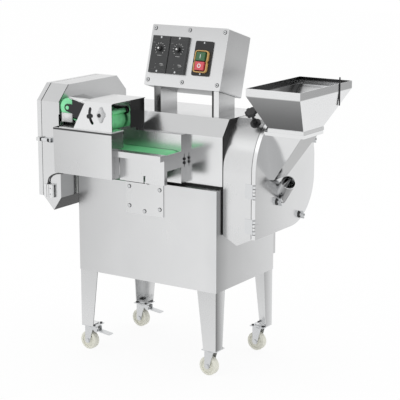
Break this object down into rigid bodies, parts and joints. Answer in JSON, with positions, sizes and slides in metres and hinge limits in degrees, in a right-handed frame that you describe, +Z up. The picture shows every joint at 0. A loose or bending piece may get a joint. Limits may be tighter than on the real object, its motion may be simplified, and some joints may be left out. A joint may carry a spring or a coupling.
{
  "type": "vegetable cutting machine",
  "caption": "Stainless vegetable cutter on casters: belt-fed leaf knife head, hopper-fed disc drum and a tilted control box.",
  "frame": {"origin": "middle of the machine's bounding box, on the floor", "axes": "+X from the leaf knife to the slicing drum, +Y to the back, +Z up"},
  "size_m": [1.04, 0.627, 1.2634],
  "materials": {
    "stainless_sheet": "satin stainless sheet",
    "stainless_machined": "turned stainless",
    "zinc_steel": "zinc plated",
    "blade_steel": "ground blade",
    "green_belt": "matt green food belt",
    "green_roller": "lagged roller",
    "black_rubber": "matt",
    "black_plastic": "matt",
    "cream_nylon": "satin nylon",
    "charcoal_panel": "satin panel",
    "silver_plastic": "satin silver",
    "amber_bezel": "gloss",
    "green_button": "gloss",
    "red_button": "gloss",
    "motor_paint": "satin enamel",
    "cast_bearing": "painted casting"
  },
  "bodies": {
    "machine": {"bearings": "cast_bearing", "cabinet_shell": "stainless_sheet", "caster_mounts": "zinc_steel", "control_box": "stainless_sheet", "control_plate": "stainless_sheet", "control_posts": "stainless_sheet", "conveyor_bracket": "stainless_sheet", "conveyor_frame": "stainless_sheet", "drive_belts": "black_rubber", "drive_motors": "motor_paint", "drive_side_box": "stainless_sheet", "drum_shell": "stainless_sheet", "feed_belt": "green_belt", "gaskets": "black_rubber", "hinge_and_latch_plates": "stainless_machined", "knife_ring": "stainless_sheet", "legs": "stainless_sheet", "lid_switch": "silver_plastic", "lid_switch_cable": "black_rubber", "operator_panels": "charcoal_panel", "panel_screws": "stainless_machined", "press_housing": "stainless_sheet", "rear_cover": "stainless_sheet", "rear_side_box": "stainless_sheet", "switch_bezel": "amber_bezel", "upper_housing": "stainless_sheet"},
    "knife_cover_lid": {"knife_lid": "stainless_sheet"},
    "cover_latch": {"latch_lever": "stainless_machined"},
    "knife_rotor": {"leaf_knife": "blade_steel"},
    "disc_rotor": {"disc_shaft": "stainless_machined", "slicing_disc": "blade_steel"},
    "door": {"drum_door": "stainless_sheet", "feed_chute": "stainless_sheet", "hopper": "stainless_sheet"},
    "knob_low_front": {"door_knob_1": "stainless_machined"},
    "knob_low_back": {"door_knob_2": "stainless_machined"},
    "knob_high_back": {"door_knob_3": "stainless_machined"},
    "crown_knob": {"top_knob": "black_plastic"},
    "feed_drive": {"feed_drive_roller": "green_roller"},
    "feed_tail": {"feed_tail_roller": "green_roller"},
    "press": {"press_arms": "stainless_sheet", "press_belt": "green_belt"},
    "press_front": {"press_front_roller": "green_roller"},
    "press_rear": {"press_rear_roller": "green_roller"},
    "dial_left": {"speed_dial_left": "black_plastic"},
    "dial_right": {"speed_dial_right": "black_plastic"},
    "start": {"start_button": "green_button"},
    "stop": {"stop_button": "red_button"},
    "knife_motor_shaft": {"knife_motor_pulley": "stainless_machined"},
    "disc_motor_shaft": {"disc_motor_pulley": "stainless_machined"},
    "fork_front_left": {"caster_fork_front_left": "zinc_steel"},
    "wheel_front_left": {"caster_wheel_front_left": "cream_nylon"},
    "fork_front_right": {"caster_fork_front_right": "zinc_steel"},
    "wheel_front_right": {"caster_wheel_front_right": "cream_nylon"},
    "fork_rear_left": {"caster_fork_rear_left": "zinc_steel"},
    "wheel_rear_left": {"caster_wheel_rear_left": "cream_nylon"},
    "fork_rear_right": {"caster_fork_rear_right": "zinc_steel"},
    "wheel_rear_right": {"caster_wheel_rear_right": "cream_nylon"},
    "brake_front_left": {"brake_pedal_front_left": "zinc_steel"},
    "brake_rear_left": {"brake_pedal_rear_left": "zinc_steel"}
  },
  "joints": [
    {"name": "lid_hinge", "type": "hinge", "parent": "machine", "child": "knife_cover_lid", "pos_m": [-0.499, 0.1798, 0.82], "axis": [0, 0, -1], "range_deg": [0, 105]},
    {"name": "latch_pivot", "type": "hinge", "parent": "machine", "child": "cover_latch", "pos_m": [-0.456, -0.252, 0.836], "axis": [0, 0, 1], "range_deg": [0, 95]},
    {"name": "knife_spin", "type": "hinge", "parent": "machine", "child": "knife_rotor", "pos_m": [-0.447, -0.0345, 0.83], "axis": [1, 0, 0], "continuous": true},
    {"name": "disc_spin", "type": "hinge", "parent": "machine", "child": "disc_rotor", "pos_m": [0.325, 0.099, 0.767], "axis": [1, 0, 0], "continuous": true},
    {"name": "knife_motor_spin", "type": "hinge", "parent": "machine", "child": "knife_motor_shaft", "pos_m": [-0.367, -0.0345, 0.445], "axis": [1, 0, 0], "continuous": true},
    {"name": "disc_motor_spin", "type": "hinge", "parent": "machine", "child": "disc_motor_shaft", "pos_m": [0.145, 0.099, 0.445], "axis": [1, 0, 0], "continuous": true},
    {"name": "door_hinge", "type": "hinge", "parent": "machine", "child": "door", "pos_m": [0.352, -0.1208, 0.645], "axis": [0, 0, -1], "range_deg": [0, 110]},
    {"name": "knob_low_front_turn", "type": "hinge", "parent": "door", "child": "knob_low_front", "pos_m": [0.354, 0.0385, 0.647], "axis": [1, 0, 0], "continuous": true},
    {"name": "knob_low_back_turn", "type": "hinge", "parent": "door", "child": "knob_low_back", "pos_m": [0.354, 0.2045, 0.568], "axis": [1, 0, 0], "continuous": true},
    {"name": "knob_high_back_turn", "type": "hinge", "parent": "door", "child": "knob_high_back", "pos_m": [0.354, 0.2865, 0.841], "axis": [1, 0, 0], "continuous": true},
    {"name": "crown_knob_turn", "type": "hinge", "parent": "machine", "child": "crown_knob", "pos_m": [0.302, -0.0305, 0.938], "axis": [0, -0.6037, 0.7972], "continuous": true},
    {"name": "feed_drive_spin", "type": "hinge", "parent": "machine", "child": "feed_drive", "pos_m": [-0.385, -0.2455, 0.808], "axis": [0, 1, 0], "continuous": true},
    {"name": "feed_tail_spin", "type": "hinge", "parent": "machine", "child": "feed_tail", "pos_m": [0.033, -0.2455, 0.808], "axis": [0, 1, 0], "continuous": true},
    {"name": "press_swing", "type": "hinge", "parent": "machine", "child": "press", "pos_m": [-0.179, -0.2995, 0.961], "axis": [0, 1, 0], "range_deg": [-12, 12], "stiffness_Nm_per_rad": 40, "springref_deg": 2.06},
    {"name": "press_front_spin", "type": "hinge", "parent": "press", "child": "press_front", "pos_m": [-0.208, -0.2505, 0.927], "axis": [0, 1, 0], "continuous": true},
    {"name": "press_rear_spin", "type": "hinge", "parent": "press", "child": "press_rear", "pos_m": [-0.367, -0.2505, 0.966], "axis": [0, 1, 0], "continuous": true},
    {"name": "dial_left_turn", "type": "hinge", "parent": "machine", "child": "dial_left", "pos_m": [-0.0995, -0.03424, 1.17701], "axis": [0, -0.9596, 0.2813], "range_deg": [0, 300]},
    {"name": "dial_right_turn", "type": "hinge", "parent": "machine", "child": "dial_right", "pos_m": [-0.0195, -0.03424, 1.17701], "axis": [0, -0.9596, 0.2813], "range_deg": [0, 300]},
    {"name": "start_press", "type": "slide", "parent": "machine", "child": "start", "axis": [0, 0.9596, -0.2813], "range_m": [0, 0.004], "stiffness_N_per_m": 400, "springref_m": -0.0015},
    {"name": "stop_press", "type": "slide", "parent": "machine", "child": "stop", "axis": [0, 0.9596, -0.2813], "range_m": [0, 0.004], "stiffness_N_per_m": 400, "springref_m": -0.0015},
    {"name": "swivel_front_left", "type": "hinge", "parent": "machine", "child": "fork_front_left", "pos_m": [-0.371, -0.1185, 0.103], "axis": [0, 0, 1], "continuous": true},
    {"name": "roll_front_left", "type": "hinge", "parent": "fork_front_left", "child": "wheel_front_left", "pos_m": [-0.387, -0.1185, 0.036], "axis": [0, 1, 0], "continuous": true},
    {"name": "brake_front_left_pedal", "type": "hinge", "parent": "fork_front_left", "child": "brake_front_left", "pos_m": [-0.347, -0.1185, 0.081], "axis": [0, 1, 0], "range_deg": [0, 12], "stiffness_Nm_per_rad": 0.5, "springref_deg": -8.59},
    {"name": "swivel_front_right", "type": "hinge", "parent": "machine", "child": "fork_front_right", "pos_m": [0.181, -0.1185, 0.103], "axis": [0, 0, 1], "continuous": true},
    {"name": "roll_front_right", "type": "hinge", "parent": "fork_front_right", "child": "wheel_front_right", "pos_m": [0.165, -0.1185, 0.036], "axis": [0, 1, 0], "continuous": true},
    {"name": "swivel_rear_left", "type": "hinge", "parent": "machine", "child": "fork_rear_left", "pos_m": [-0.371, 0.2235, 0.103], "axis": [0, 0, 1], "continuous": true},
    {"name": "roll_rear_left", "type": "hinge", "parent": "fork_rear_left", "child": "wheel_rear_left", "pos_m": [-0.387, 0.2235, 0.036], "axis": [0, 1, 0], "continuous": true},
    {"name": "brake_rear_left_pedal", "type": "hinge", "parent": "fork_rear_left", "child": "brake_rear_left", "pos_m": [-0.347, 0.2235, 0.081], "axis": [0, 1, 0], "range_deg": [0, 12], "stiffness_Nm_per_rad": 0.5, "springref_deg": -8.59},
    {"name": "swivel_rear_right", "type": "hinge", "parent": "machine", "child": "fork_rear_right", "pos_m": [0.181, 0.2235, 0.103], "axis": [0, 0, 1], "continuous": true},
    {"name": "roll_rear_right", "type": "hinge", "parent": "fork_rear_right", "child": "wheel_rear_right", "pos_m": [0.165, 0.2235, 0.036], "axis": [0, 1, 0], "continuous": true}
  ],
  "couplings": [
    {"joint": "knife_spin", "follows": "knife_motor_spin", "ratio": 0.66874},
    {"joint": "disc_spin", "follows": "disc_motor_spin", "ratio": 0.66874},
    {"joint": "feed_tail_spin", "follows": "feed_drive_spin", "ratio": 1},
    {"joint": "press_rear_spin", "follows": "feed_drive_spin", "ratio": -0.70149},
    {"joint": "press_front_spin", "follows": "feed_drive_spin", "ratio": -0.70149}
  ]
}
